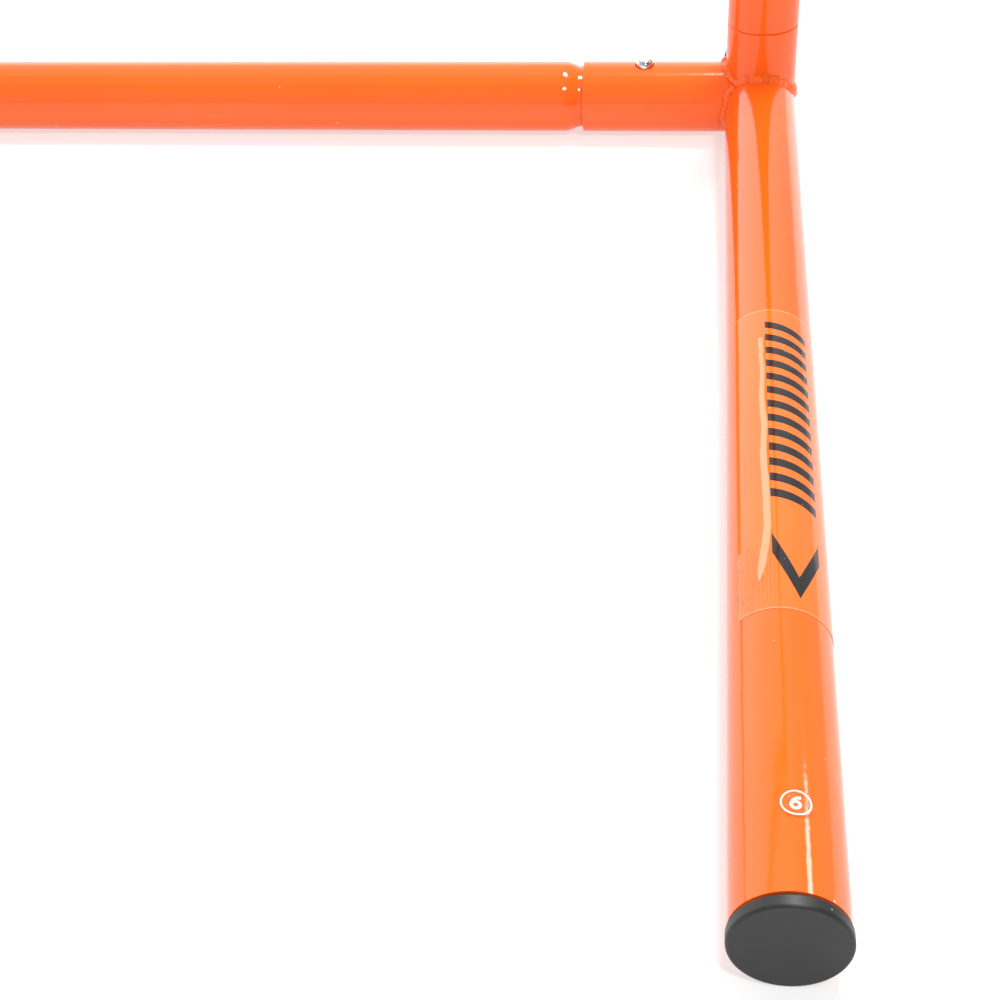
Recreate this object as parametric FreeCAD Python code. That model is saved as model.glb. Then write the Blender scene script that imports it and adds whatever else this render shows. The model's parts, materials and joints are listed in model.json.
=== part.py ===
import FreeCAD, Part
import math
import os
from FreeCAD import Placement, Rotation, Vector

# Knock-down training hurdle in welded steel tube, millimetres.
# X runs across the hurdle, -Y is the front, where the feet point, and Z is up.
# The origin is on the floor, in the middle of the hurdle's outline.

# Tube shared by the feet, sockets, uprights and bars.
TUBE_D = 32.0
TUBE_WALL = 2.0

# Overall sizes.
FOOT_CENTRES = 762.0       # between the axes of the two feet
FOOT_REACH = 480.0         # upright axis to the front end of a foot tube
HEEL_REACH = 36.0          # upright axis to the rear end of a foot tube
LIFT = 254.0               # rise of the top bar from its lowest to its highest setting

# Welded sockets, measured from the corner where the tube axes meet.
BAR_SOCKET = 82.0          # mouth of a socket that takes the end of a crossbar
UPRIGHT_SOCKET = 37.0      # mouth of the socket that takes an upright
TOP_OVERHANG = 20.0        # outer end of a top socket, past the riser axis

# Swaged crossbar ends and the sleeves in the uprights, which plug into the sockets.
SWAGE_TAPER = 8.7          # length of the S-shaped shoulder
SLEEVE_OVER = 4.0          # upper end of an upright's sleeve, past the hairpin spring
SPIGOT_FIT = 0.2           # radial clearance of a spigot in its socket
SPIGOT_END_GAP = 8.0       # end of a crossbar spigot to the foot or the riser's side

# Snap buttons and the hairpin springs that carry them.
BUTTON_D = 8.0
BUTTON_HOLE_D = 8.8
BUTTON_PROUD = 2.6         # above the socket
BUTTON_FLANGE_D = 11.0
BUTTON_FLANGE_T = 1.2
BUTTON_EDGE = 1.9          # rounding of the button's crown
BAR_BUTTON = 28.5          # mouth of a crossbar socket to its button
UPRIGHT_BUTTON = 9.5       # mouth of an upright socket to its button
SPRING_LEG = 35.0
SPRING_WIDTH = 8.0
SPRING_T = 0.8

# Black end caps.
CAP_T = 5.0
CAP_PROUD = 0.4            # rim of the cap outside the tube, so the hurdle stands on its caps
CAP_EDGE = 1.0
CAP_NECK = 1.1             # width of the recessed neck between tube and rim
CAP_NECK_DEPTH = 1.0
CAP_PLUG = 18.0
CAP_PLUG_WALL = 2.0
CAP_FIN_GAP = 0.05         # fins to tube bore
CAP_FIN_H = 0.9
CAP_FIN_W = 1.2
CAP_FINS = 4

# Telescoping riser, its guide bush and its glide.
RISER_D = 25.0
RISER_WALL = 2.0
RISER_ENGAGE = 105.0       # riser left inside the upright at full height
RISER_CLEAR = 6.0          # riser end to the sleeve below it
BAR_GAP = 12.0             # guide bush to top socket at the lowest setting
BUSH_FIT = 0.1             # radial clearance of the riser in the bush
BUSH_SEAT = 0.05           # radial clearance of the bush in the upright
BUSH_LENGTH = 40.0
BUSH_FLANGE = 6.0
BUSH_EDGE = 1.5
GLIDE_FIT = 0.2            # radial clearance of the glide in the upright
GLIDE_FLANGE = 4.0
GLIDE_PLUG = 15.0
GLIDE_SEAT = 0.1

# Lock knob, its stud and the nut welded to the upright.
KNOB_DROP = 24.0           # top of the upright to the stud axis
STUD_D = 8.0
STUD_FIT = 0.05            # radial clearance of the stud in the nut
STUD_TIP_GAP = 0.3         # stud tip to riser
STUD_HOLE_D = 9.0          # hole in the upright and the bush
STUD_CHAMFER = 1.0
NUT_FLATS = 13.0
NUT_T = 6.5
KNOB_GAP = 2.5             # nut to knob hub, left for tightening
KNOB_HUB_D = 17.0
KNOB_HUB = 8.0
KNOB_D = 40.0
KNOB_T = 13.0
KNOB_LOBES = 6
KNOB_SCALLOP_R = 7.0
KNOB_SCALLOP_DEPTH = 4.0
KNOB_EDGE = 2.0
STUD_GRIP = 12.0           # length of the stud moulded into the knob

# Film decal and number label on top of each foot.
LABEL_T = 0.15
DECAL_START = 211.0        # upright axis to the nearer end of the film
DECAL_LENGTH = 164.0
DECAL_WIDTH = 39.0         # around the tube
DECAL_TURN = 18.0          # degrees from the top of the tube towards the outside
NUMBER_D = 9.6
NUMBER_SETBACK = 29.2      # front end of the foot tube to the label's centre
NUMBER_TURN = 6.3          # degrees from the top of the tube towards the outside

# Values that follow from the ones above.
R = TUBE_D / 2
BORE_R = R - TUBE_WALL
SPIGOT_R = BORE_R - SPIGOT_FIT
SPIGOT_BORE_R = SPIGOT_R - TUBE_WALL
BAR_SPIGOT = BAR_SOCKET - R - SPIGOT_END_GAP
RISER_R = RISER_D / 2
FOOT_X = FOOT_CENTRES / 2
UPRIGHT_Y = (FOOT_REACH - HEEL_REACH) / 2
FOOT_AXIS_Z = R + CAP_PROUD
UPRIGHT_MOUTH_Z = FOOT_AXIS_Z + UPRIGHT_SOCKET
BUTTON_SEAT = math.sqrt(SPIGOT_BORE_R ** 2 - (BUTTON_FLANGE_D / 2) ** 2) - SPIGOT_FIT
SPRING_TOP = BUTTON_SEAT - BUTTON_FLANGE_T
SPRING_FOOT = -math.sqrt(SPIGOT_BORE_R ** 2 - (SPRING_WIDTH / 2) ** 2)
SPRING_BEND_R = (SPRING_TOP - SPRING_FOOT) / 2
UPRIGHT_BUTTON_Z = UPRIGHT_MOUTH_Z - UPRIGHT_BUTTON
SLEEVE_TOP_Z = UPRIGHT_BUTTON_Z + SPRING_LEG + SPRING_BEND_R + SLEEVE_OVER
GLIDE_Z = SLEEVE_TOP_Z + RISER_CLEAR
UPRIGHT_TOP_Z = GLIDE_Z + RISER_ENGAGE + LIFT
KNOB_Z = UPRIGHT_TOP_Z - KNOB_DROP
TOP_AXIS_Z = UPRIGHT_TOP_Z + BUSH_FLANGE + BAR_GAP + R

X, Y, Z = Vector(1, 0, 0), Vector(0, 1, 0), Vector(0, 0, 1)
CORNER = Vector(FOOT_X, UPRIGHT_Y, FOOT_AXIS_Z)
TOP_CORNER = Vector(FOOT_X, UPRIGHT_Y, TOP_AXIS_Z)


def placed(shape, origin, along, side=None):
    """Stand a shape made along Z at origin, with Z turned to along and X to side."""
    turned_to = Rotation(Z, along) if side is None else Rotation(side, along.cross(side), along, "ZXY")
    moved = shape.copy()
    moved.Placement = Placement(origin, turned_to).multiply(moved.Placement)
    return moved


def rod(radius, start, end, along=Z):
    """Solid cylinder from height start to height end on an axis through the origin."""
    return Part.makeCylinder(radius, end - start, along * start, along)


def s_curve(start, end):
    """Two equal tangent arcs between two (radius, height) points, as a swaging die leaves them."""
    rise, run = (end[0] - start[0]) / 2, (end[1] - start[1]) / 2
    half_turn = math.atan2(abs(rise), abs(run)) / 2
    chord = math.hypot(rise, run) / (2 * math.cos(half_turn))
    step_r = math.copysign(chord * math.sin(half_turn), rise)
    step_h = math.copysign(chord * math.cos(half_turn), run)
    first = Vector(start[0], 0, start[1])
    last = Vector(end[0], 0, end[1])
    middle = (first + last) * 0.5
    step = Vector(step_r, 0, step_h)
    return [Part.Arc(first, first + step, middle).toShape(), Part.Arc(middle, last - step, last).toShape()]


def turned(points):
    """Solid of revolution about Z; points are (radius, height), and a slanting stretch is a swage."""
    edges = []
    for start, end in zip(points, points[1:] + points[:1]):
        if start[0] == end[0] or start[1] == end[1]:
            edges.append(Part.makeLine(Vector(start[0], 0, start[1]), Vector(end[0], 0, end[1])))
        else:
            edges += s_curve(start, end)
    return Part.Face(Part.Wire(edges)).revolve(Vector(), Z, 360)


def round_edges(shape, radius, test):
    """Round the edges of a shape that pass the test."""
    return shape.makeFillet(radius, [edge for edge in shape.Edges if test(edge)])


def circle_at(height, radius):
    """Test for a circular edge about Z at this height and radius."""
    def test(edge):
        return (isinstance(edge.Curve, Part.Circle) and abs(edge.Curve.Radius - radius) < 0.01
                and abs(edge.Curve.Center.z - height) < 0.01)
    return test


def tube(radius, wall, start, end):
    """Plain tube along Z."""
    return rod(radius, start, end).cut(rod(radius - wall, start, end))


def swaged_tube(half):
    """Tube along Z, swaged at both ends to seat in sockets whose mouths are half away each way."""
    outside, inside = [], []
    for radius, path in ((R, outside), (BORE_R, inside)):
        neck = radius - R + SPIGOT_R
        path += [(neck, -half - BAR_SPIGOT), (neck, -half), (radius, SWAGE_TAPER - half)]
        path += [(radius, half - SWAGE_TAPER), (neck, half), (neck, half + BAR_SPIGOT)]
    return turned(outside + inside[::-1])


def tube_lip(shape, height):
    """Break the outer edge of a tube's end."""
    return round_edges(shape, TUBE_WALL / 3, circle_at(height, R))


def button_hole(distance):
    """Cutter for a button hole in the side of a tube along Z, facing X."""
    return placed(rod(BUTTON_HOLE_D / 2, 0, TUBE_D), Vector(0, 0, distance), X)


def foot_tube():
    """Foot tube, with its top wall drilled under the upright socket for the spigot."""
    foot = placed(tube(R, TUBE_WALL, -HEEL_REACH, FOOT_REACH), CORNER, -Y)
    return foot.cut(placed(rod(BORE_R, 0, TUBE_D), CORNER, Z))


def bar_socket(corner, outer_end, button_side):
    """Socket tube that runs inwards from a corner and takes the end of a crossbar."""
    body = tube_lip(tube(R, TUBE_WALL, outer_end, BAR_SOCKET), BAR_SOCKET)
    return placed(body.cut(button_hole(BAR_SOCKET - BAR_BUTTON)), corner, -X, button_side)


def base_socket():
    """Crossbar socket, coped to the foot and to the upright socket."""
    foot = placed(rod(R, -TUBE_D, TUBE_D), CORNER, Y)
    upright = placed(rod(R, 0, TUBE_D), CORNER, Z)
    return bar_socket(CORNER, 0, Z).cut(foot.fuse(upright))


def upright_socket():
    """Short socket coped to the top of the foot, with its button hole at the back."""
    body = tube_lip(tube(R, TUBE_WALL, 0, UPRIGHT_SOCKET), UPRIGHT_SOCKET)
    body = body.cut(button_hole(UPRIGHT_SOCKET - UPRIGHT_BUTTON))
    return placed(body, CORNER, Z, Y).cut(placed(rod(R, -TUBE_D, TUBE_D), CORNER, Y))


def crossbar(height, button_side):
    """Crossbar between two opposite sockets, swaged and drilled at both ends."""
    half = FOOT_X - BAR_SOCKET
    bar = swaged_tube(half)
    for end in (-1, 1):
        bar = bar.cut(button_hole(end * (half + BAR_BUTTON)))
    return placed(bar, Vector(0, UPRIGHT_Y, height), X, button_side)


def upright_tube():
    """Upright, with plain ends, drilled near the top for the lock stud."""
    body = tube_lip(tube(R, TUBE_WALL, UPRIGHT_MOUTH_Z, UPRIGHT_TOP_Z), UPRIGHT_MOUTH_Z)
    return placed(body, Vector(FOOT_X, UPRIGHT_Y, 0), Z).cut(stud_hole())


def upright_sleeve():
    """Sleeve plug-welded in the lower end of the upright; its free end plugs into the socket."""
    body = tube(SPIGOT_R, TUBE_WALL, FOOT_AXIS_Z, SLEEVE_TOP_Z).cut(button_hole(UPRIGHT_BUTTON_Z))
    return placed(body, Vector(FOOT_X, UPRIGHT_Y, 0), Z, Y)


def end_cap(corner, reach, outwards):
    """Black cap with a finned plug; its plug is inside the tube whose end is reach from corner."""
    plug_r = BORE_R - CAP_FIN_GAP - CAP_FIN_H
    rim_r = R + CAP_PROUD
    rim = round_edges(rod(rim_r, CAP_NECK, CAP_T), CAP_EDGE, circle_at(CAP_T, rim_r))
    rim = round_edges(rim, CAP_PROUD, circle_at(CAP_NECK, rim_r))
    cap = rim.fuse(rod(R - CAP_NECK_DEPTH, 0, CAP_NECK))
    cap = cap.fuse(rod(plug_r, -CAP_PLUG, 0))
    pitch = CAP_PLUG / (CAP_FINS + 1)
    for number in range(CAP_FINS):
        low = -pitch * (number + 1)
        cap = cap.fuse(rod(plug_r + CAP_FIN_H, low - CAP_FIN_W / 2, low + CAP_FIN_W / 2))
    cap = cap.cut(rod(plug_r - CAP_PLUG_WALL, -CAP_PLUG, -CAP_PLUG_WALL)).removeSplitter()
    return placed(cap, corner + outwards * reach, outwards)


def snap_button():
    """Chromed button along Z, its height measured from the axis of the tube that holds it."""
    crown = R + BUTTON_PROUD
    shank = round_edges(rod(BUTTON_D / 2, BUTTON_SEAT, crown), BUTTON_EDGE, circle_at(crown, BUTTON_D / 2))
    return shank.fuse(rod(BUTTON_FLANGE_D / 2, SPRING_TOP, BUTTON_SEAT)).removeSplitter()


def hairpin_spring():
    """Spring strip whose upper leg carries the button at the origin; the bend points along X."""
    middle = (SPRING_TOP + SPRING_FOOT) / 2
    bend = rod(SPRING_BEND_R, 0, SPRING_WIDTH).cut(rod(SPRING_BEND_R - SPRING_T, 0, SPRING_WIDTH))
    bend = bend.common(Part.makeBox(TUBE_D, 2 * TUBE_D, SPRING_WIDTH, Vector(0, -TUBE_D, 0)))
    bend = placed(bend, Vector(SPRING_LEG, SPRING_WIDTH / 2, middle), -Y, X)
    start = -BUTTON_FLANGE_D / 2
    for low in (SPRING_TOP - SPRING_T, SPRING_FOOT):
        leg = Part.makeBox(SPRING_LEG - start, SPRING_WIDTH, SPRING_T, Vector(start, -SPRING_WIDTH / 2, low))
        bend = bend.fuse(leg)
    return bend.removeSplitter()


def guide_bush():
    """Nylon bush in the top of the upright, with a flange on the tube's end."""
    flange_top = UPRIGHT_TOP_Z + BUSH_FLANGE
    flange = round_edges(rod(R, UPRIGHT_TOP_Z, flange_top), BUSH_EDGE, circle_at(flange_top, R))
    bush = flange.fuse(rod(BORE_R - BUSH_SEAT, UPRIGHT_TOP_Z - BUSH_LENGTH, UPRIGHT_TOP_Z))
    bush = bush.cut(rod(RISER_R + BUSH_FIT, UPRIGHT_TOP_Z - BUSH_LENGTH, flange_top)).removeSplitter()
    return placed(bush, Vector(FOOT_X, UPRIGHT_Y, 0), Z).cut(stud_hole())


def stud_hole():
    """Cutter for the lock stud through the outer side of the upright and the bush."""
    return placed(rod(STUD_HOLE_D / 2, 0, TUBE_D), Vector(FOOT_X, UPRIGHT_Y, KNOB_Z), X)


def lock_nut():
    """Hexagonal nut coped and welded to the outer side of the upright."""
    corners = [Rotation(Z, 60 * corner).multVec(X) * (NUT_FLATS / math.sqrt(3)) for corner in range(7)]
    nut = Part.Face(Part.makePolygon(corners)).extrude(Z * (R + NUT_T))
    nut = placed(nut.cut(rod(STUD_D / 2, 0, R + NUT_T)), Vector(FOOT_X, UPRIGHT_Y, KNOB_Z), X)
    return nut.cut(placed(rod(R, KNOB_Z - TUBE_D, KNOB_Z + TUBE_D), Vector(FOOT_X, UPRIGHT_Y, 0), Z))


def knob_base():
    """Distance from the upright axis to the hub of the knob."""
    return R + NUT_T + KNOB_GAP


def lock_stud():
    """Threaded stud from just off the riser to inside the knob."""
    tip = RISER_R + STUD_TIP_GAP
    radius = STUD_D / 2 - STUD_FIT
    stud = rod(radius, tip, knob_base() + STUD_GRIP)
    edges = [edge for edge in stud.Edges if circle_at(tip, radius)(edge)]
    return placed(stud.makeChamfer(STUD_CHAMFER, edges), Vector(FOOT_X, UPRIGHT_Y, KNOB_Z), X)


def lock_knob():
    """Lobed plastic knob moulded on the stud."""
    base = knob_base()
    face = base + KNOB_HUB
    head = rod(KNOB_D / 2, face, face + KNOB_T)
    scallop_centre = KNOB_D / 2 - KNOB_SCALLOP_DEPTH + KNOB_SCALLOP_R
    for lobe in range(KNOB_LOBES):
        angle = 2 * math.pi * (lobe + 0.5) / KNOB_LOBES
        cutter = rod(KNOB_SCALLOP_R, face, face + KNOB_T)
        cutter.translate(Vector(math.cos(angle), math.sin(angle), 0) * scallop_centre)
        head = head.cut(cutter)
    head = round_edges(head, KNOB_EDGE, lambda edge: abs(edge.BoundBox.ZLength) < 0.01)
    knob = head.fuse(rod(KNOB_HUB_D / 2, base, face)).removeSplitter()
    knob = knob.cut(rod(STUD_D / 2 - STUD_FIT, base, base + STUD_GRIP))
    return placed(knob, Vector(FOOT_X, UPRIGHT_Y, KNOB_Z), X)


def riser_tube():
    """Inner tube that telescopes in the upright, coped to the top socket."""
    body = tube(RISER_R, RISER_WALL, GLIDE_Z + GLIDE_FLANGE, TOP_AXIS_Z)
    body = placed(body, Vector(FOOT_X, UPRIGHT_Y, 0), Z)
    return body.cut(placed(rod(R, -TUBE_D, TUBE_D), TOP_CORNER, X))


def riser_glide():
    """Black plug in the lower end of the riser that runs on the upright's bore."""
    plug_r = RISER_R - RISER_WALL - GLIDE_SEAT
    glide = rod(BORE_R - GLIDE_FIT, 0, GLIDE_FLANGE).fuse(rod(plug_r, 0, GLIDE_FLANGE + GLIDE_PLUG))
    glide = glide.cut(rod(plug_r - CAP_PLUG_WALL, 0, GLIDE_FLANGE + GLIDE_PLUG)).removeSplitter()
    return placed(glide, Vector(FOOT_X, UPRIGHT_Y, GLIDE_Z), Z)


def decal():
    """Clear printed film, wrapped partly around the foot."""
    angle = math.degrees(DECAL_WIDTH / R)
    film = Part.makeCylinder(R + LABEL_T, DECAL_LENGTH, Vector(0, 0, DECAL_START), Z, angle)
    film = film.cut(rod(R, DECAL_START, DECAL_START + DECAL_LENGTH))
    film.rotate(Vector(), Z, -angle / 2 - DECAL_TURN)
    return placed(film, CORNER, -Y, Z)


def number_label():
    """Round number label on the foot, near its front end."""
    shell = tube(R + LABEL_T, LABEL_T, FOOT_REACH - NUMBER_SETBACK - TUBE_D, FOOT_REACH)
    label = shell.common(placed(rod(NUMBER_D / 2, 0, TUBE_D), Vector(0, 0, FOOT_REACH - NUMBER_SETBACK), X))
    label.rotate(Vector(), Z, -NUMBER_TURN)
    return placed(label, CORNER, -Y, Z)


def save(name, shape):
    """Write one node as a STEP file."""
    if not shape.isValid() or len(shape.Solids) != 1:
        raise ValueError(f"{name}: {len(shape.Solids)} solids, valid: {shape.isValid()}")
    shape.Solids[0].exportStep(f"parts/{name}.step")


def bar_snap(height, direction):
    """Snap button and hairpin spring in the right end of the crossbar at this height."""
    place = Vector(FOOT_X - BAR_SOCKET + BAR_BUTTON, UPRIGHT_Y, height)
    return placed(snap_button(), place, direction, -X), placed(hairpin_spring(), place, direction, -X)


def upright_snap():
    """Snap button and hairpin spring in the lower end of the right upright."""
    place = Vector(FOOT_X, UPRIGHT_Y, UPRIGHT_BUTTON_Z)
    return placed(snap_button(), place, Y, Z), placed(hairpin_spring(), place, Y, Z)


def side_pieces():
    """Pieces of the right side, which the left side mirrors."""
    base_button, base_spring = bar_snap(FOOT_AXIS_Z, Z)
    top_button, top_spring = bar_snap(TOP_AXIS_Z, -Z)
    foot_button, foot_spring = upright_snap()
    return {
        "foot_tube": foot_tube(),
        "front_cap": end_cap(CORNER, FOOT_REACH, -Y),
        "rear_cap": end_cap(CORNER, HEEL_REACH, Y),
        "crossbar_socket": base_socket(),
        "crossbar_button": base_button,
        "crossbar_spring": base_spring,
        "upright_socket": upright_socket(),
        "upright_button": foot_button,
        "upright_spring": foot_spring,
        "upright_tube": upright_tube(),
        "upright_sleeve": upright_sleeve(),
        "guide_bush": guide_bush(),
        "lock_nut": lock_nut(),
        "lock_stud": lock_stud(),
        "lock_knob": lock_knob(),
        "riser_tube": riser_tube(),
        "riser_glide": riser_glide(),
        "top_socket": bar_socket(TOP_CORNER, -TOP_OVERHANG, -Z),
        "top_cap": end_cap(TOP_CORNER, TOP_OVERHANG, X),
        "top_button": top_button,
        "top_spring": top_spring,
        "foot_decal": decal(),
        "number_label": number_label(),
    }


os.makedirs("parts", exist_ok=True)
for piece, shape in side_pieces().items():
    save("right_" + piece, shape)
    save("left_" + piece, shape.mirror(Vector(), X))
save("base_crossbar", crossbar(FOOT_AXIS_Z, Z))
save("top_bar", crossbar(TOP_AXIS_Z, -Z))
print("top bar", TOP_AXIS_Z + R, "to", TOP_AXIS_Z + R + LIFT, "above the floor")
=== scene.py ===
import json
import math

import bmesh
import bpy
from mathutils import Matrix, Vector


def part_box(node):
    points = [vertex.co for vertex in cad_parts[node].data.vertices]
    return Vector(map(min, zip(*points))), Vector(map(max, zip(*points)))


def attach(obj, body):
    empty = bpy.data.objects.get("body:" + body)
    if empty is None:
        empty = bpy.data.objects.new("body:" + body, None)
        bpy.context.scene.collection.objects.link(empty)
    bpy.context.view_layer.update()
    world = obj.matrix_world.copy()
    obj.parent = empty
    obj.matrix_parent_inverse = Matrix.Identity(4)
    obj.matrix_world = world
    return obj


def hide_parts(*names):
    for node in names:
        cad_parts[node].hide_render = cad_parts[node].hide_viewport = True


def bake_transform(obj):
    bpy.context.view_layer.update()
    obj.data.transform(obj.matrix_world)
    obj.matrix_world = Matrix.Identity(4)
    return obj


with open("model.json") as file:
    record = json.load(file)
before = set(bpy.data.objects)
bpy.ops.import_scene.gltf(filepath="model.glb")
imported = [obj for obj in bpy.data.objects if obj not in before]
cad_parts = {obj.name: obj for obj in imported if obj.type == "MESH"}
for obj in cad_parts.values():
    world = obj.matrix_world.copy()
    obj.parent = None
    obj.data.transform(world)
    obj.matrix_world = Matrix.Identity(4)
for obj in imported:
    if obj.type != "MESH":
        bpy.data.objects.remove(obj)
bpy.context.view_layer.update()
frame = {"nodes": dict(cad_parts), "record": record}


# Studio: a plain white floor in front of a bright rear wall, dimmer on the camera's side, with three
# small soft boxes for the highlights. The view is on the right rear corner of the base, from above the
# front of the right foot.
foot_low, foot_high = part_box("right_foot_tube")
upright_low, upright_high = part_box("right_upright_tube")
tube_r = (foot_high.x - foot_low.x) / 2
corner = Vector(((foot_low.x + foot_high.x) / 2, (upright_low.y + upright_high.y) / 2, foot_high.z - tube_r))

floor_size = 60.0
floor_grey, floor_glow = 0.42, 0.58
floor_mesh = bpy.data.meshes.new("floor")
floor_bm = bmesh.new()
bmesh.ops.create_grid(floor_bm, x_segments=1, y_segments=1, size=floor_size / 2)
floor_bm.to_mesh(floor_mesh)
floor_bm.free()
floor = bpy.data.objects.new("floor", floor_mesh)
bpy.context.collection.objects.link(floor)
floor_paint = bpy.data.materials.new("white_floor")
floor_paint.use_nodes = True
floor_shader = floor_paint.node_tree.nodes["Principled BSDF"]
floor_shader.inputs["Base Color"].default_value = (floor_grey, floor_grey, floor_grey, 1)
floor_shader.inputs["Roughness"].default_value = 0.6
floor_shader.inputs["Specular IOR Level"].default_value = 0.2
floor_shader.inputs["Emission Color"].default_value = (1, 1, 1, 1)
floor_shader.inputs["Emission Strength"].default_value = floor_glow
floor.data.materials.append(floor_paint)


def adder(tree):
    """Two functions for a node tree: one adds a node and links its inputs, one adds a sum."""
    def add(kind, settings=None, **sources):
        node = tree.nodes.new(kind)
        for key, value in (settings or {}).items():
            if isinstance(key, int) or key in node.inputs:
                node.inputs[key].default_value = value
            else:
                setattr(node, key, value)
        for key, source in sources.items():
            tree.links.new(source, node.inputs[key.replace("_", " ")])
        return node

    def calc(operation, *terms):
        node = tree.nodes.new("ShaderNodeMath")
        node.operation = operation
        for socket, term in zip(node.inputs, terms):
            if isinstance(term, (int, float)):
                socket.default_value = term
            else:
                tree.links.new(term, socket)
        return node.outputs[0]

    return add, calc


sky = bpy.data.worlds.new("studio")
bpy.context.scene.world = sky
sky.use_nodes = True
sky_add, sky_calc = adder(sky.node_tree)
sky_way = sky_add("ShaderNodeSeparateXYZ", Vector=sky_add("ShaderNodeTexCoord").outputs["Generated"])
# Along each axis, the brightness goes from one value at a first direction to another at a second.
sky_ramps = {"Z": (0.35, 0.75, 1.70, 0.95), "Y": (-0.5, 0.25, 0.42, 1.0), "X": (0.0, 0.48, 1.0, 0.36)}
sky_glow = 1.0
for axis, (low, high, low_value, high_value) in sky_ramps.items():
    fade = sky_add("ShaderNodeMapRange", {"From Min": low, "From Max": high, "To Min": low_value,
                                          "To Max": high_value}, Value=sky_way.outputs[axis])
    sky_glow = sky_calc("MULTIPLY", sky_glow, fade.outputs["Result"])
sky.node_tree.links.new(sky_glow, sky.node_tree.nodes["Background"].inputs["Strength"])
sky.node_tree.nodes["Background"].inputs["Color"].default_value = (1, 1, 1, 1)


def soft_box(name, place, size, power):
    """Round soft box aimed at the corner of the base, its place measured from there."""
    lamp = bpy.data.lights.new(name, "AREA")
    lamp.shape = "DISK"
    lamp.size = size
    lamp.energy = power
    holder = bpy.data.objects.new(name, lamp)
    holder.location = corner + Vector(place)
    holder.rotation_euler = Vector(place).to_track_quat("Z", "Y").to_euler()
    bpy.context.collection.objects.link(holder)


soft_box("overhead", (0.22, 0.44, 1.92), 0.40, 36)
soft_box("front", (0.38, -1.22, 1.51), 0.28, 16)
soft_box("rear_right", (1.02, 0.93, 1.38), 0.28, 2.4)

camera_heading, camera_dip, camera_roll = 7.74, 38.25, -3.31
camera_diameters = Vector((-0.90, -23.93, 11.40))
camera = bpy.data.cameras.new("camera")
camera.sensor_width = 36.0
camera.lens = 63.18
camera.clip_start = 0.01
camera_holder = bpy.data.objects.new("camera", camera)
camera_turn = (Matrix.Rotation(math.radians(camera_heading), 4, "Z")
               @ Matrix.Rotation(math.radians(90 - camera_dip), 4, "X")
               @ Matrix.Rotation(math.radians(camera_roll), 4, "Z"))
camera_step = camera_diameters * (2 * tube_r)
camera_holder.matrix_world = Matrix.Translation(corner + camera_step) @ camera_turn
bpy.context.collection.objects.link(camera_holder)
bpy.context.scene.camera = camera_holder
bpy.context.scene.view_settings.view_transform = "Standard"


# Powder coat: thick, glossy orange polyester, baked on every welded tube after welding. It flows to a
# faint orange peel, and picks up a few specks of dust in the oven.
deep_orange, light_orange, oven_dust = (0.90, 0.112, 0.006), (0.94, 0.135, 0.010), (0.95, 0.55, 0.33)


def new_material(name):
    """Material with its shader, the place on the piece, and the functions that add nodes and link them."""
    material = bpy.data.materials.new(name)
    material.use_nodes = True
    tree = material.node_tree
    add, calc = adder(tree)
    place = add("ShaderNodeTexCoord").outputs["Object"]
    return material, tree.nodes["Principled BSDF"], place, add, calc, tree.links.new


def blended(add, link, amount, under, over):
    """Mix of two colours, each a value or the output of a node."""
    mix = add("ShaderNodeMix", {"data_type": "RGBA"})
    for number, source in ((0, amount), (6, under), (7, over)):
        if isinstance(source, tuple):
            mix.inputs[number].default_value = (*source, 1)
        else:
            link(source, mix.inputs[number])
    return mix.outputs[2]


def dots(add, calc, place, scale, share, size):
    """Sparse round dots: 1 inside a dot, 0 outside."""
    cells = add("ShaderNodeTexVoronoi", {"Scale": scale}, Vector=place)
    chosen = add("ShaderNodeSeparateColor", Color=cells.outputs["Color"])
    return calc("MULTIPLY", calc("LESS_THAN", chosen.outputs[0], share),
                calc("LESS_THAN", cells.outputs["Distance"], size))


def fine_grain(add, link, shader, place, scale, strength, depth):
    """Fine relief all over a surface."""
    grain = add("ShaderNodeTexNoise", {"Scale": scale, "Detail": 2.0}, Vector=place)
    bump = add("ShaderNodeBump", {"Strength": strength, "Distance": depth}, Height=grain.outputs["Fac"])
    link(bump.outputs["Normal"], shader.inputs["Normal"])


def powder_coat(name, peel_scale, swell_scale, strength, depth):
    """Orange paint with its dust, its uneven gloss and its relief of peel and swell."""
    material, shader, place, add, calc, link = new_material(name)
    drift = add("ShaderNodeTexNoise", {"Scale": 14.0, "Detail": 2.0}, Vector=place)
    paint = blended(add, link, drift.outputs["Fac"], deep_orange, light_orange)
    dust = dots(add, calc, place, 230.0, 0.03, 0.09)
    link(blended(add, link, dust, paint, oven_dust), shader.inputs["Base Color"])
    smear = add("ShaderNodeTexNoise", {"Scale": 55.0, "Detail": 3.0}, Vector=place)
    gloss = add("ShaderNodeMapRange", {"To Min": 0.05, "To Max": 0.13}, Value=smear.outputs["Fac"])
    link(gloss.outputs["Result"], shader.inputs["Roughness"])
    peel = add("ShaderNodeTexNoise", {"Scale": peel_scale, "Detail": 1.0}, Vector=place)
    swell = add("ShaderNodeTexNoise", {"Scale": swell_scale, "Detail": 1.0}, Vector=place)
    relief = calc("MULTIPLY_ADD", swell.outputs["Fac"], 3.0, peel.outputs["Fac"])
    bump = add("ShaderNodeBump", {"Strength": strength, "Distance": depth}, Height=relief)
    link(bump.outputs["Normal"], shader.inputs["Normal"])
    return material


def finish_nodes(slot_name, material):
    """Give a material to every CAD node of one slot of the record."""
    for part in frame["record"]["subparts"]:
        if part["material_slot"] == slot_name:
            for holder in frame["nodes"][part["node"]].material_slots:
                holder.material = material


finish_nodes("orange_powder_coat", powder_coat("orange_powder_coat", 480.0, 80.0, 0.10, 0.0003))


# Plastics: the end caps are matt, grained polyethylene with a few pale specks; the bushes and glides are
# smoother nylon, and the knobs have a coarser spark-eroded grain.
speck_grey = (0.30, 0.30, 0.31)


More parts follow.
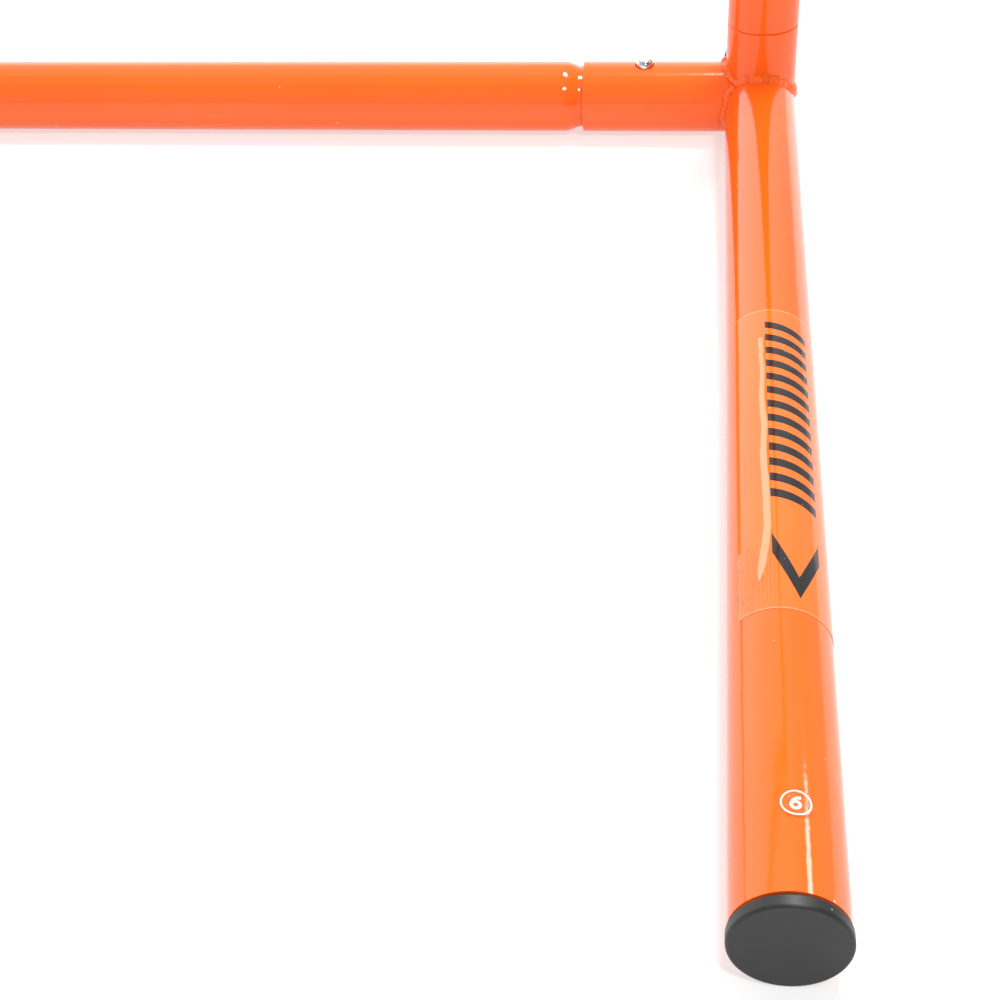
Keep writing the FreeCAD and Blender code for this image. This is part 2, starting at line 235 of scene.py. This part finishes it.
def plastic(slot_name, colour, roughness, grain, depth, specks):
    """Moulded plastic for one slot: cloudy colour, pale specks and a fine grain."""
    material, shader, place, add, calc, link = new_material(slot_name)
    cloud = add("ShaderNodeTexNoise", {"Scale": 60.0, "Detail": 3.0}, Vector=place)
    worn = blended(add, link, cloud.outputs["Fac"], colour, tuple(1.35 * part for part in colour))
    pale = dots(add, calc, place, 420.0, specks, 0.10)
    link(blended(add, link, pale, worn, speck_grey), shader.inputs["Base Color"])
    haze = add("ShaderNodeMapRange", {"To Min": roughness - 0.06, "To Max": roughness + 0.06},
               Value=cloud.outputs["Fac"])
    link(haze.outputs["Result"], shader.inputs["Roughness"])
    fine_grain(add, link, shader, place, grain, 0.5, depth)
    finish_nodes(slot_name, material)


plastic("cap_plastic", (0.009, 0.009, 0.009), 0.46, 2200.0, 0.00006, 0.02)
plastic("black_nylon", (0.020, 0.020, 0.021), 0.36, 1500.0, 0.00003, 0.01)
plastic("knob_plastic", (0.022, 0.022, 0.023), 0.42, 1600.0, 0.00010, 0.02)


# Metals: bright chrome on the snap buttons, bare tempered strip for the hairpin springs, and zinc
# plating on the sleeves and studs. Each has faint drawn scratches along its length.
def metal(slot_name, colour, roughness, stretch, depth):
    """Bare or plated metal for one slot, with scratches stretched along its length."""
    material, shader, place, add, calc, link = new_material(slot_name)
    drawn = add("ShaderNodeMapping", {"Scale": stretch}, Vector=place)
    scratches = add("ShaderNodeTexNoise", {"Scale": 900.0, "Detail": 3.0}, Vector=drawn.outputs["Vector"])
    link(blended(add, link, scratches.outputs["Fac"], tuple(0.85 * part for part in colour), colour),
         shader.inputs["Base Color"])
    shader.inputs["Metallic"].default_value = 1.0
    haze = add("ShaderNodeMapRange", {"To Min": roughness * 0.7, "To Max": roughness * 1.3},
               Value=scratches.outputs["Fac"])
    link(haze.outputs["Result"], shader.inputs["Roughness"])
    bump = add("ShaderNodeBump", {"Strength": 0.3, "Distance": depth}, Height=scratches.outputs["Fac"])
    link(bump.outputs["Normal"], shader.inputs["Normal"])
    finish_nodes(slot_name, material)
    return material


metal("chrome_button", (0.72, 0.73, 0.75), 0.08, (1.0, 1.0, 1.0), 0.000004)
metal("spring_steel", (0.40, 0.41, 0.44), 0.30, (0.05, 1.0, 1.0), 0.000010)
zinc = metal("zinc_steel", (0.66, 0.67, 0.68), 0.26, (1.0, 1.0, 1.0), 0.000008)


# Hairpin springs: each is a bent strip of tempered steel, copied from the CAD spring in its place, and the
# CAD spring is hidden. On the real part the leg under a pressed button goes in with it, the bend closes and
# the other leg stays against the tube.
held_end = 0.001
for side in ("left", "right"):
    for label, body, press in (("crossbar", "base_frame", (0, 0, -1)), ("upright", "base_frame", (0, -1, 0)),
                               ("top", "upper_frame", (0, 0, 1))):
        node = f"{side}_{label}_spring"
        strip = bpy.data.objects.new(f"{side}_{label}_strip", frame["nodes"][node].data.copy())
        strip.data.transform(frame["nodes"][node].matrix_world)
        bpy.context.collection.objects.link(strip)
        strip_low, strip_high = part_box(node)
        reach = Vector(press) * (abs((strip_high - strip_low).dot(Vector(press))) / 2 - held_end)
        middle = (strip_low + strip_high) / 2
        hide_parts(node)
        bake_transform(strip)


# Weld beads: a lumpy fillet sweeps along each seam, all round the upright sockets, the risers and the
# nuts, and up both sides of the crossbar joints, where it stops short of the floor. The coat over it is as
# smooth as on the tubes, so each lump glints.
def geometry_tree(name, inputs):
    """Empty geometry tree with named inputs; returns it, its inputs and the functions that add nodes."""
    tree = bpy.data.node_groups.new(name, "GeometryNodeTree")
    for label, kind in inputs.items():
        tree.interface.new_socket(label, in_out="INPUT", socket_type="NodeSocket" + kind)
    tree.interface.new_socket("Result", in_out="OUTPUT", socket_type="NodeSocketGeometry")
    add, calc = adder(tree)
    return tree, add("NodeGroupInput").outputs, add, calc


def finish_tree(add, geometry, material):
    """Last nodes of a tree: real, smooth and painted."""
    real = add("GeometryNodeRealizeInstances", Geometry=geometry)
    smooth = add("GeometryNodeSetShadeSmooth", Geometry=real.outputs[0])
    painted = add("GeometryNodeSetMaterial", Geometry=smooth.outputs[0], Material=material)
    add("NodeGroupOutput", Result=painted.outputs[0])


def grown(name, start, tree, values):
    """Piece made by running a geometry tree on a starting mesh."""
    piece = bpy.data.objects.new(name, start)
    bpy.context.collection.objects.link(piece)
    modifier = piece.modifiers.new("grow", "NODES")
    modifier.node_group = tree
    for socket in tree.interface.items_tree:
        if socket.name in values:
            modifier[socket.identifier] = values[socket.name]
    bpy.context.view_layer.update()
    made = bpy.data.meshes.new_from_object(piece.evaluated_get(bpy.context.evaluated_depsgraph_get()))
    piece.modifiers.clear()
    piece.data = made
    return piece


def chained(paths, closed):
    """Mesh of edges along each path of points."""
    points, edges = [], []
    for path in paths:
        first, count = len(points), len(path)
        points += path
        edges += [(first + k, first + (k + 1) % count) for k in range(count if closed else count - 1)]
    mesh = bpy.data.meshes.new("path")
    mesh.from_pydata(points, edges, [])
    return mesh


bead_step = 0.00035
socket_bead_r, riser_bead_r, nut_bead_r = 0.0027, 0.0020, 0.0012

bead, given, add, calc = geometry_tree("weld_bead", {
    "Path": "Geometry", "Radius": "Float", "Ripple": "Float", "Start": "Float", "Seed": "Float",
    "Paint": "Material"})
seam = add("GeometryNodeMeshToCurve", Mesh=given["Path"])
seam = add("GeometryNodeResampleCurve", {"mode": "LENGTH", "Length": bead_step}, Curve=seam.outputs[0])
along = add("GeometryNodeSplineParameter").outputs
ends = calc("MINIMUM", along["Factor"], calc("SUBTRACT", 1.0, along["Factor"]))
fade = calc("MINIMUM", 1.0, calc("MULTIPLY_ADD", ends, 12.0, given["Start"]))
wave = calc("DIVIDE", calc("MULTIPLY", along["Length"], math.pi), given["Ripple"])
wave = calc("ABSOLUTE", calc("SINE", wave))
size = calc("MULTIPLY", calc("MULTIPLY", given["Radius"], fade), calc("MULTIPLY_ADD", wave, 0.14, 0.90))
profile = add("GeometryNodeCurvePrimitiveCircle", {"Resolution": 16, "Radius": 1.0})
swept = add("GeometryNodeCurveToMesh", {"Fill Caps": True}, Curve=seam.outputs[0],
            Profile_Curve=profile.outputs[0], Scale=size)
lumps = add("ShaderNodeTexNoise", {"noise_dimensions": "4D", "Scale": 190.0, "Detail": 1.0}, W=given["Seed"])
push = calc("MULTIPLY", calc("SUBTRACT", lumps.outputs[0], 0.5), calc("MULTIPLY", given["Radius"], 1.7))
outwards = add("ShaderNodeVectorMath", {"operation": "SCALE"},
               Vector=add("GeometryNodeInputNormal").outputs[0], Scale=push)
lumpy = add("GeometryNodeSetPosition", Geometry=swept.outputs[0], Offset=outwards.outputs[0])
finish_tree(add, lumpy.outputs[0], given["Paint"])

riser_low, riser_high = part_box("right_riser_tube")
riser_r = (riser_high.x - riser_low.x) / 2
top_low, top_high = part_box("top_bar")
top_z = (top_low.z + top_high.z) / 2
nut_low, nut_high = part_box("right_lock_nut")
nut_z = (nut_low.z + nut_high.z) / 2
nut_r = (nut_high.z - nut_low.z) / 2


def circle(count, start=0.0, end=360.0):
    """Cosines and sines of evenly spaced angles."""
    turns = [math.radians(start + (end - start) * k / count) for k in range(count + (end - start < 360))]
    return [(math.cos(turn), math.sin(turn)) for turn in turns]


base_at, top_at = Vector((corner.x, corner.y, corner.z)), Vector((corner.x, corner.y, top_z))
nut_at = Vector((corner.x, corner.y, nut_z))
seam_sink, seam_rise, seam_edge = 0.90, 0.07, 8
upright_seam = [base_at + tube_r * (seam_sink + seam_rise * max(abs(s), -c))
                * Vector((c, s, (abs(s) ** seam_edge + max(0.0, -c) ** seam_edge) ** (1 / seam_edge)))
                for c, s in circle(160)]
cross_sink, cross_starts, cross_arc = 0.975, (137, 305), 98
cross_seams = [[base_at + tube_r * cross_sink * Vector((-abs(c), c, s))
                for c, s in circle(60, start, start + cross_arc)] for start in cross_starts]
riser_seam = [top_at + Vector((riser_r * c, riser_r * s, -math.sqrt(tube_r ** 2 - (riser_r * s) ** 2)))
              for c, s in circle(120)]
nut_seam = [nut_at + Vector((math.sqrt(tube_r ** 2 - (nut_r * c) ** 2), nut_r * c, nut_r * s))
            for c, s in circle(80)]
welds = [("upright_weld", [upright_seam], True, socket_bead_r, "base_frame"),
         ("crossbar_weld", cross_seams, False, socket_bead_r, "base_frame"),
         ("riser_weld", [riser_seam], True, riser_bead_r, "upper_frame"),
         ("nut_weld", [nut_seam], True, nut_bead_r, "base_frame")]
weld_coat = powder_coat("weld_coat", 480.0, 160.0, 0.10, 0.0003)
for side in (-1, 1):
    for number, (label, seams, closed, radius, body) in enumerate(welds):
        paths = [[(side * point.x, point.y, point.z) for point in seam] for seam in seams]
        weld = grown(("left_" if side < 0 else "right_") + label, chained(paths, closed), bead, {
            "Radius": radius, "Ripple": radius, "Start": 1.0 if closed else 0.3,
            "Seed": 3.1 * number + side, "Paint": weld_coat})
        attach(weld, body)


# Lock studs: a rounded right-hand thread winds round the plated core of each stud, in place of the plain
# rod of the CAD model.
stud_low, stud_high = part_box("right_lock_stud")
stud_length, stud_r = stud_high.x - stud_low.x, (stud_high.z - stud_low.z) / 2
thread_pitch, thread_depth = 0.00125, 0.0006

thread, given, add, calc = geometry_tree("stud_thread", {
    "Core": "Geometry", "Length": "Float", "Pitch": "Float", "Radius": "Float", "Side": "Float",
    "Steel": "Material"})
crest_r = calc("MULTIPLY", given["Pitch"], 0.34)
helix_r = calc("SUBTRACT", given["Radius"], crest_r)
helix = add("GeometryNodeCurveSpiral", {"Resolution": 28}, Start_Radius=helix_r, End_Radius=helix_r,
            Height=given["Length"], Rotations=calc("DIVIDE", given["Length"], given["Pitch"]))
crest = add("GeometryNodeCurvePrimitiveCircle", {"Resolution": 10}, Radius=crest_r)
ridge = add("GeometryNodeCurveToMesh", {"Fill Caps": True}, Curve=helix.outputs[0],
            Profile_Curve=crest.outputs[0])
screw = add("GeometryNodeJoinGeometry", Geometry=ridge.outputs[0])
thread.links.new(given["Core"], screw.inputs[0])
spot = add("ShaderNodeSeparateXYZ", Vector=add("GeometryNodeInputPosition").outputs[0]).outputs
laid = add("ShaderNodeCombineXYZ", X=calc("MULTIPLY", given["Side"], calc("ADD", spot["Z"], stud_low.x)),
           Y=calc("MULTIPLY_ADD", given["Side"], spot["X"], corner.y), Z=calc("ADD", spot["Y"], nut_z))
laid = add("GeometryNodeSetPosition", Geometry=screw.outputs[0], Position=laid.outputs[0])
finish_tree(add, laid.outputs[0], given["Steel"])

for side, name in ((-1, "left"), (1, "right")):
    core_mesh = bpy.data.meshes.new("stud_core")
    core_bm = bmesh.new()
    bmesh.ops.create_cone(core_bm, cap_ends=True, segments=40, radius1=stud_r - thread_depth,
                          radius2=stud_r - thread_depth, depth=stud_length,
                          matrix=Matrix.Translation((0, 0, stud_length / 2)))
    core_bm.to_mesh(core_mesh)
    core_bm.free()
    stud = grown(name + "_threaded_stud", core_mesh, thread, {
        "Length": stud_length, "Pitch": thread_pitch, "Radius": stud_r, "Side": float(side), "Steel": zinc})
    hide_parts(name + "_lock_stud")
    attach(stud, name + "_knob")


# Decals: a clear film is wrapped round each foot, a little paler than the paint, with a pale ridge of air
# trapped under it near the inner edge, and a painted highlight along both cut ends. It carries a row of
# slanted bars and a chevron in black.
decal_low, decal_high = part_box("right_foot_decal")
label_low, label_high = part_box("right_number_label")


def on_foot(add, calc, place):
    """Degrees outwards from the top of the foot, and distance in front of the corner."""
    split = add("ShaderNodeSeparateXYZ", Vector=place).outputs
    across = calc("SUBTRACT", calc("ABSOLUTE", split["X"]), corner.x)
    turn = calc("MULTIPLY", calc("ARCTAN2", across, calc("SUBTRACT", split["Z"], corner.z)), 180 / math.pi)
    return turn, calc("SUBTRACT", corner.y, split["Y"])


film_deep, film_light = (0.92, 0.135, 0.014), (0.95, 0.165, 0.022)
ridge_pale, edge_highlight_colour = (1.0, 0.42, 0.27), (1.0, 0.50, 0.33)
ridge_turn, ridge_wander, ridge_width, ridge_widens = -20.5, 14.0, 4.6, 28.0
ridge_gap, bend_reach, bend_rate = 0.018, 0.045, 8500.0
tail_gap, tail_length = 0.008, 0.012
edge_highlight_width, wrinkle_reach, wrinkle_turn = 0.0005, 0.030, -4.0

film, shader, place, add, calc, link = new_material("decal_film")
turn, ahead = on_foot(add, calc, place)
film_start, film_end = corner.y - decal_high.y, corner.y - decal_low.y
drift = add("ShaderNodeTexNoise", {"Scale": 30.0, "Detail": 3.0}, Vector=place).outputs["Fac"]
bend = calc("MAXIMUM", calc("SUBTRACT", ahead, film_end - bend_reach), 0.0)
veer = calc("MULTIPLY", calc("MULTIPLY", bend, bend), -bend_rate)
ridge_at = calc("ADD", calc("MULTIPLY_ADD", drift, ridge_wander, ridge_turn), veer)
ridge_wide = calc("MULTIPLY_ADD", calc("SUBTRACT", ahead, film_start), ridge_widens, ridge_width)
ridge = calc("SUBTRACT", 1.0, calc("DIVIDE", calc("ABSOLUTE", calc("SUBTRACT", turn, ridge_at)), ridge_wide))
tail = calc("MINIMUM", calc("DIVIDE", calc("SUBTRACT", film_end - tail_gap, ahead), tail_length), 1.0)
ridge = calc("MULTIPLY", calc("MAXIMUM", ridge, 0.0), calc("GREATER_THAN", ahead, film_start + ridge_gap))
ridge = calc("MULTIPLY", ridge, calc("MAXIMUM", tail, 0.0))
near_end = calc("MINIMUM", calc("SUBTRACT", ahead, film_start), calc("SUBTRACT", film_end, ahead))
# Painted highlight: a band this wide at both cut ends of the film is mixed paler, as if the edge caught the
# light.
edge_highlight = calc("LESS_THAN", near_end, edge_highlight_width)
crease = add("ShaderNodeTexWave", {"wave_type": "BANDS", "bands_direction": "X", "Scale": 260.0,
                                   "Distortion": 6.0, "Detail": 2.0}, Vector=place).outputs["Fac"]
wrinkled = calc("MULTIPLY", calc("GREATER_THAN", ahead, film_end - wrinkle_reach),
                calc("LESS_THAN", turn, wrinkle_turn))
clear = blended(add, link, drift, film_deep, film_light)
paler = calc("MULTIPLY", calc("GREATER_THAN", ridge, 0.45), 0.55)
clear = blended(add, link, paler, clear, ridge_pale)
# Film colour with the painted edge highlight mixed in at 35 percent.
link(blended(add, link, calc("MULTIPLY", edge_highlight, 0.35), clear, edge_highlight_colour), shader.inputs["Base Color"])
shader.inputs["Roughness"].default_value = 0.07
height = calc("MULTIPLY_ADD", calc("MULTIPLY", crease, wrinkled), 0.6, ridge)
bump = add("ShaderNodeBump", {"Strength": 0.45, "Distance": 0.0006}, Height=height)
link(bump.outputs["Normal"], shader.inputs["Normal"])
finish_nodes("decal_film", film)


def printed(name, colour, wear):
    """Glossy ink on film."""
    material, shader, place, add, calc, link = new_material(name)
    worn = dots(add, calc, place, 900.0, wear, 0.16)
    link(blended(add, link, worn, colour, (0.95, 0.30, 0.12)), shader.inputs["Base Color"])
    haze = add("ShaderNodeTexNoise", {"Scale": 70.0, "Detail": 2.0}, Vector=place)
    gloss = add("ShaderNodeMapRange", {"To Min": 0.08, "To Max": 0.22}, Value=haze.outputs["Fac"])
    link(gloss.outputs["Result"], shader.inputs["Roughness"])
    fine_grain(add, link, shader, place, 90.0, 0.25, 0.0004)
    return material


wrap, given, add, calc = geometry_tree("print_wrap", {
    "Flat": "Geometry", "Count": "Int", "Pitch": "Float", "Side": "Float", "Radius": "Float",
    "Ink": "Material"})
pitch = add("ShaderNodeCombineXYZ", X=given["Pitch"])
row = add("GeometryNodeMeshLine", Count=given["Count"], Offset=pitch.outputs[0])
copies = add("GeometryNodeInstanceOnPoints", Points=row.outputs[0], Instance=given["Flat"])
real = add("GeometryNodeRealizeInstances", Geometry=copies.outputs[0])
spot = add("ShaderNodeSeparateXYZ", Vector=add("GeometryNodeInputPosition").outputs[0]).outputs
turn = calc("DIVIDE", spot["Y"], given["Radius"])
reach = calc("MULTIPLY_ADD", given["Radius"], calc("SINE", turn), corner.x)
wrapped = add("ShaderNodeCombineXYZ", X=calc("MULTIPLY", given["Side"], reach),
              Y=calc("SUBTRACT", corner.y, spot["X"]),
              Z=calc("MULTIPLY_ADD", given["Radius"], calc("COSINE", turn), corner.z))
bent = add("GeometryNodeSetPosition", Geometry=real.outputs[0], Position=wrapped.outputs[0])
finish_tree(add, bent.outputs[0], given["Ink"])


cut_width = 0.001


def flat_print(shapes, side):
    """Flat mesh of convex outlines (ahead, outwards), cut in strips that can follow the round foot."""
    bm = bmesh.new()
    for shape in shapes:
        face = bm.faces.new([bm.verts.new((ahead, outwards, 0)) for ahead, outwards in shape])
        face.normal_update()
        if face.normal.z * side < 0:
            face.normal_flip()
    spread = [vert.co.y for vert in bm.verts]
    for cut in range(math.floor(min(spread) / cut_width), math.ceil(max(spread) / cut_width)):
        bmesh.ops.bisect_plane(bm, geom=bm.verts[:] + bm.edges[:] + bm.faces[:],
                               plane_co=(0, cut * cut_width, 0), plane_no=(0, 1, 0))
    mesh = bpy.data.meshes.new("flat_print")
    bm.to_mesh(mesh)
    bm.free()
    return mesh


def print_on_foot(name, shapes, side, ink, count=1, step=0.0):
    """Ink shapes laid on the film of one foot, repeated along it if a count and a step are given."""
    piece = grown(name, flat_print(shapes, side), wrap, {
        "Count": count, "Pitch": step, "Side": float(side), "Radius": film_r, "Ink": ink})
    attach(piece, "base_frame")


ink_lift = 0.00003
film_r = decal_high.z - corner.z + ink_lift
mark_low, mark_high, mark_gap = -0.0024, 0.0138, 0.008
mark_start = film_start + mark_gap
bar_width, bar_step, bar_count, slant = 0.0042, 0.0082, 13, 0.0042
bar_shape = [(mark_start, mark_low), (mark_start + bar_width, mark_low),
             (mark_start + bar_width + slant, mark_high), (mark_start + slant, mark_high)]
tip_gap, tip_width, tip_depth = 0.035, 0.0095, 0.020
tip_start = film_end - tip_gap
middle = (mark_low + mark_high) / 2
chevron = [[(tip_start, edge), (tip_start + tip_depth, middle), (tip_start + tip_depth + tip_width, middle),
            (tip_start + tip_width, edge)] for edge in (mark_low, mark_high)]
black_ink = printed("black_ink", (0.012, 0.012, 0.013), 0.05)
for side, name in ((-1, "left"), (1, "right")):
    print_on_foot(name + "_decal_bars", [bar_shape], side, black_ink, bar_count, bar_step)
    print_on_foot(name + "_decal_chevron", chevron, side, black_ink)


# Number labels: a clear round film with tiny bubbles under it, a white ring and a bold white number, 6
# on the right foot and 5 on the left, turned a little. Its print is laid out in millimetres.
film, shader, place, add, calc, link = new_material("number_label")
bubbles = dots(add, calc, place, 1500.0, 0.22, 0.22)
link(blended(add, link, bubbles, (0.92, 0.115, 0.012), (1.0, 0.62, 0.50)), shader.inputs["Base Color"])
shader.inputs["Roughness"].default_value = 0.12
fine_grain(add, link, shader, place, 700.0, 0.3, 0.0001)
finish_nodes("number_label", film)

white_ink = printed("white_ink", (0.95, 0.74, 0.68), 0.02)
label_ahead = corner.y - (label_low.y + label_high.y) / 2
label_out = film_r * math.atan2((label_low.x + label_high.x) / 2 - corner.x, tube_r)
label_turn = math.radians(15)
ring_r, ring_width, number_width = 4.05, 0.5, 0.95


def stroke(points, width, closed=False):
    """Quads of one even width along a line of points."""
    sides = []
    for number, here in enumerate(points):
        before = points[number - 1] if number or closed else here
        after = points[(number + 1) % len(points)] if number < len(points) - 1 or closed else here
        way = Vector((after[0] - before[0], after[1] - before[1])).normalized() * width / 2
        sides.append(((here[0] - way.y, here[1] + way.x), (here[0] + way.y, here[1] - way.x)))
    pairs = list(zip(sides, sides[1:] + sides[:1])) if closed else list(zip(sides, sides[1:]))
    return [[a[0], a[1], b[1], b[0]] for a, b in pairs]


def number_shapes(lines, side):
    """Ring and number on the label; lines are (right, up) points in millimetres and whether they close."""
    ring = [(ring_r * c, ring_r * s) for c, s in circle(64)]
    shapes = stroke(ring, ring_width, True)
    for points, closed in lines:
        shapes += stroke(points, number_width, closed)
    placed = []
    for shape in shapes:
        corners = [(right * math.cos(label_turn) + up * math.sin(label_turn),
                    up * math.cos(label_turn) - right * math.sin(label_turn)) for right, up in shape]
        placed.append([(label_ahead - up * 0.001, label_out + side * right * 0.001)
                       for right, up in corners])
    return placed


six = [([(1.15 * c, 1.15 * s - 0.85) for c, s in circle(32)], True),
       ([(-1.13, -0.85), (-1.13, -0.2), (-1.0, 0.45), (-0.65, 1.1), (-0.1, 1.6), (0.75, 1.95)], False)]
five = [([(1.15, 1.85), (-0.85, 1.85)], False),
        ([(-0.85, 2.35), (-0.85, 1.85), (-0.95, 0.25), (-0.35, 0.5), (0.25, 0.45), (0.8, 0.1), (1.05, -0.5),
          (0.95, -1.2), (0.5, -1.75), (-0.15, -1.95), (-1.15, -1.7)], False)]
for side, name, lines in ((-1, "left", five), (1, "right", six)):
    print_on_foot(name + "_number_print", number_shapes(lines, side), side, white_ink)
